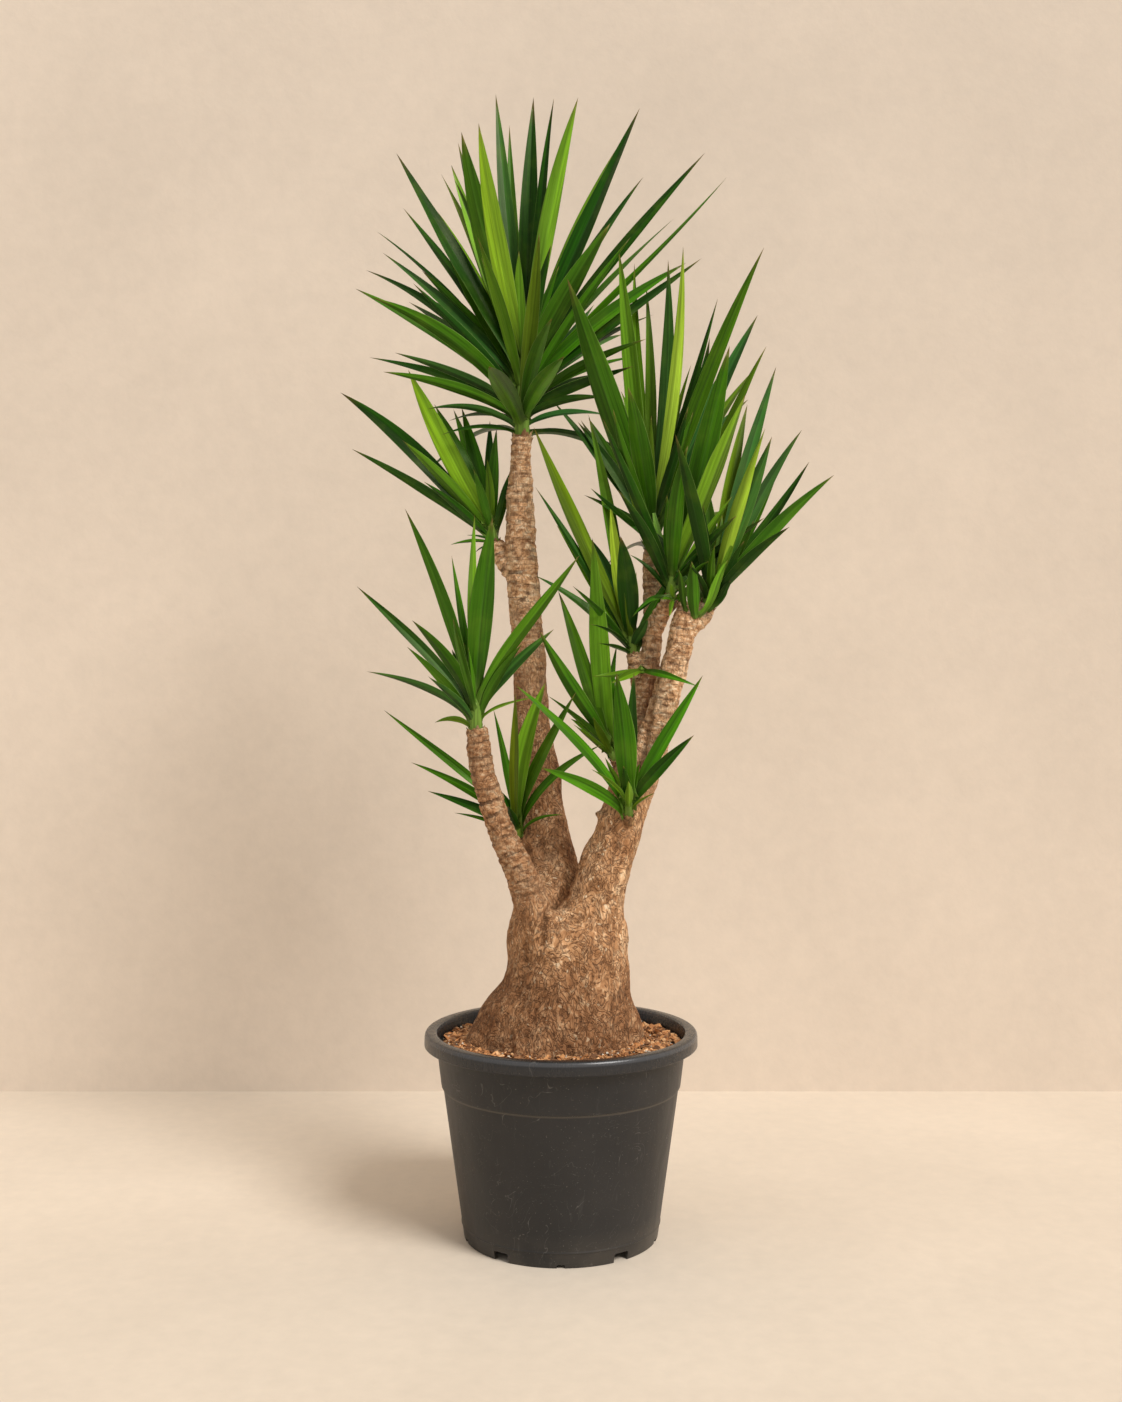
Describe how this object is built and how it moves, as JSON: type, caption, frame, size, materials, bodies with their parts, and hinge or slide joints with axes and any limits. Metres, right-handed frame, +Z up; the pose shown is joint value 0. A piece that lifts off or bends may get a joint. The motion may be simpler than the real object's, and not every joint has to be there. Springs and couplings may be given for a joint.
{
  "type": "potted yucca",
  "caption": "Branched yucca with a swollen trunk and leaf crowns at the ends and sides of its stems, in a round nursery pot.",
  "frame": {"origin": "centre of the pot's underside, on the ground", "axes": "+Z up through the pot's axis, -Y towards the plant's front, +X to the right seen from the front"},
  "size_m": [0.7233, 0.6064, 1.7206],
  "materials": {
    "pot": "satin charcoal polypropylene, scuffed",
    "potting_soil": "dark crumbly compost",
    "bark_mulch": "rough bark chips",
    "trunk": "dry corky bark with ring scars",
    "green_shoot": "fleshy, satin",
    "leaf": "tough green blade, satin"
  },
  "bodies": {
    "root": {"bark_mulch": "bark_mulch", "fork_crown_rosette": "leaf", "front_crown_leaf_01": "leaf", "front_crown_leaf_02": "leaf", "front_crown_leaf_03": "leaf", "front_crown_leaf_04": "leaf", "front_crown_leaf_05": "leaf", "front_crown_leaf_06": "leaf", "front_crown_leaf_07": "leaf", "front_crown_leaf_08": "leaf", "front_crown_shoot": "green_shoot", "left_crown_leaf_01": "leaf", "left_crown_leaf_02": "leaf", "left_crown_leaf_03": "leaf", "left_crown_leaf_04": "leaf", "left_crown_leaf_05": "leaf", "left_crown_leaf_06": "leaf", "left_crown_leaf_07": "leaf", "left_crown_leaf_08": "leaf", "left_crown_leaf_09": "leaf", "left_crown_leaf_10": "leaf", "left_crown_leaf_11": "leaf", "left_crown_leaf_12": "leaf", "left_crown_leaf_13": "leaf", "left_crown_shoot": "green_shoot", "left_high_crown_rosette": "leaf", "low_crown_leaf_01": "leaf", "low_crown_leaf_02": "leaf", "low_crown_leaf_03": "leaf", "low_crown_leaf_04": "leaf", "low_crown_leaf_05": "leaf", "low_crown_leaf_06": "leaf", "low_crown_leaf_07": "leaf", "low_crown_leaf_08": "leaf", "low_crown_leaf_09": "leaf", "low_crown_leaf_10": "leaf", "low_crown_shoot": "green_shoot", "middle_crown_leaf_01": "leaf", "middle_crown_leaf_02": "leaf", "middle_crown_leaf_03": "leaf", "middle_crown_leaf_04": "leaf", "middle_crown_leaf_05": "leaf", "middle_crown_leaf_06": "leaf", "middle_crown_shoot": "green_shoot", "pot": "pot", "potting_soil": "potting_soil", "rear_crown_rosette": "leaf", "right_crown_rosette": "leaf", "sprig_rosette": "leaf", "stub_crown_rosette": "leaf", "top_crown_rosette": "leaf", "trunk": "trunk"}
  },
  "joints": []
}
